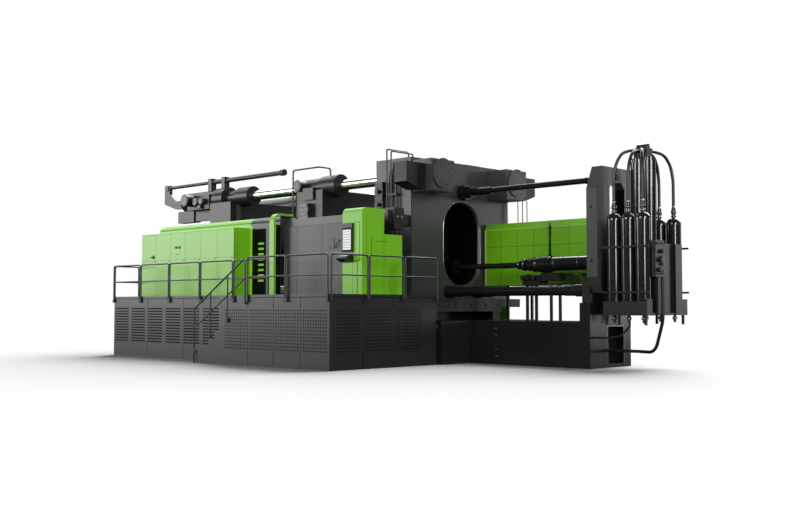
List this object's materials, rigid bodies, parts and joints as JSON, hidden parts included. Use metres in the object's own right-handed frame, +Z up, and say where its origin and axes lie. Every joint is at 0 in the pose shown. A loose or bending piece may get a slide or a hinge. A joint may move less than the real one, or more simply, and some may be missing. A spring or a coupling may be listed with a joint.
{
  "type": "die casting machine",
  "caption": "Large horizontal cold-chamber die casting machine with tie-bar clamping end, shot unit, gas accumulators, operator guards and a railed service platform.",
  "frame": {"origin": "on the floor, on the machine centre line, below the injection-side face of the fixed platen", "axes": "+X along the machine towards the injection end, -Y towards the operator, +Z up"},
  "size_m": [20.23, 9.283, 6.155],
  "materials": {
    "green_paint": "semi-gloss machine green",
    "grey_panel": "satin mid grey",
    "black_panel": "satin black",
    "deck_plate": "tread plate",
    "rail_steel": "brushed tube",
    "cast_dark": "smooth dark paint on castings",
    "frame_grey": "satin grey",
    "polished_bar": "ground and plated",
    "machined_steel": "turned",
    "cylinder_paint": "gloss black",
    "pipe_black": "semi-gloss black",
    "panel_plastic": "matt"
  },
  "bodies": {
    "machine": {"machine_bed": "green_paint", "shot_base": "green_paint", "electrical_cabinet": "green_paint", "rear_guard": "green_paint", "guard_portal": "green_paint", "side_enclosure": "green_paint", "far_guard": "green_paint", "control_tower": "green_paint", "sign_panel": "grey_panel", "enclosure_legs": "black_panel", "platform_skirts": "black_panel", "platen_shoe": "black_panel", "frame_saddle": "black_panel", "accumulator_rack": "black_panel", "bottle_straps": "black_panel", "platen_valve_block": "black_panel", "door_track": "black_panel", "lock_housings": "black_panel", "platform_deck": "deck_plate", "stair_flight": "deck_plate", "handrails": "rail_steel", "stair_handrail": "rail_steel", "fixed_platen": "cast_dark", "rear_platen": "cast_dark", "clamp_cylinders": "cast_dark", "tie_bar_end_covers": "cast_dark", "shot_frame": "frame_grey", "fixed_tie_bars": "polished_bar", "shot_tie_rods": "polished_bar", "shot_sleeve": "machined_steel", "puller_barrel": "machined_steel", "shot_valve_manifold": "machined_steel", "top_manifold": "machined_steel", "rack_valve_block": "machined_steel", "shot_cylinder": "cylinder_paint", "closing_cylinder": "cylinder_paint", "gas_bottles": "cylinder_paint", "piston_accumulators": "cylinder_paint", "accumulator_pipes": "pipe_black", "operator_panel": "panel_plastic"},
    "safety_door": {"safety_door": "grey_panel"},
    "shot_plunger": {"shot_plunger": "machined_steel"},
    "moving_platen": {"moving_platen": "cast_dark", "tie_bar_guides": "cast_dark", "guide_valves": "cast_dark", "closing_rod": "polished_bar"},
    "tie_bar_puller": {"upper_near_tie_bar": "polished_bar", "puller_rod": "polished_bar", "puller_arm": "cast_dark"},
    "cabinet_door_1": {"cabinet_door_1": "green_paint"},
    "cabinet_door_2": {"cabinet_door_2": "green_paint"},
    "cabinet_door_3": {"cabinet_door_3": "green_paint"},
    "cabinet_door_4": {"cabinet_door_4": "green_paint"},
    "cabinet_door_5": {"cabinet_door_5": "green_paint"},
    "cabinet_door_6": {"cabinet_door_6": "green_paint"}
  },
  "joints": [
    {"name": "door_slide", "type": "slide", "parent": "machine", "child": "safety_door", "axis": [1, 0, 0], "range_m": [-2.9, 0]},
    {"name": "plunger_stroke", "type": "slide", "parent": "machine", "child": "shot_plunger", "axis": [1, 0, 0], "range_m": [-1.25, 0]},
    {"name": "closing_stroke", "type": "slide", "parent": "machine", "child": "moving_platen", "axis": [1, 0, 0], "range_m": [0, 1.3]},
    {"name": "tie_bar_pull", "type": "slide", "parent": "machine", "child": "tie_bar_puller", "axis": [1, 0, 0], "range_m": [-3.7, 0]},
    {"name": "cabinet_door_1_hinge", "type": "hinge", "parent": "machine", "child": "cabinet_door_1", "pos_m": [-10.305, -4.5075, 2.9], "axis": [0, 0, 1], "range_deg": [-90, 0]},
    {"name": "cabinet_door_2_hinge", "type": "hinge", "parent": "machine", "child": "cabinet_door_2", "pos_m": [-9.45333, -4.5075, 2.9], "axis": [0, 0, 1], "range_deg": [-90, 0]},
    {"name": "cabinet_door_3_hinge", "type": "hinge", "parent": "machine", "child": "cabinet_door_3", "pos_m": [-8.60167, -4.5075, 2.9], "axis": [0, 0, 1], "range_deg": [-90, 0]},
    {"name": "cabinet_door_4_hinge", "type": "hinge", "parent": "machine", "child": "cabinet_door_4", "pos_m": [-7.75, -4.5075, 2.9], "axis": [0, 0, 1], "range_deg": [-90, 0]},
    {"name": "cabinet_door_5_hinge", "type": "hinge", "parent": "machine", "child": "cabinet_door_5", "pos_m": [-6.89833, -4.5075, 2.9], "axis": [0, 0, 1], "range_deg": [-90, 0]},
    {"name": "cabinet_door_6_hinge", "type": "hinge", "parent": "machine", "child": "cabinet_door_6", "pos_m": [-6.04667, -4.5075, 2.9], "axis": [0, 0, 1], "range_deg": [-90, 0]}
  ]
}
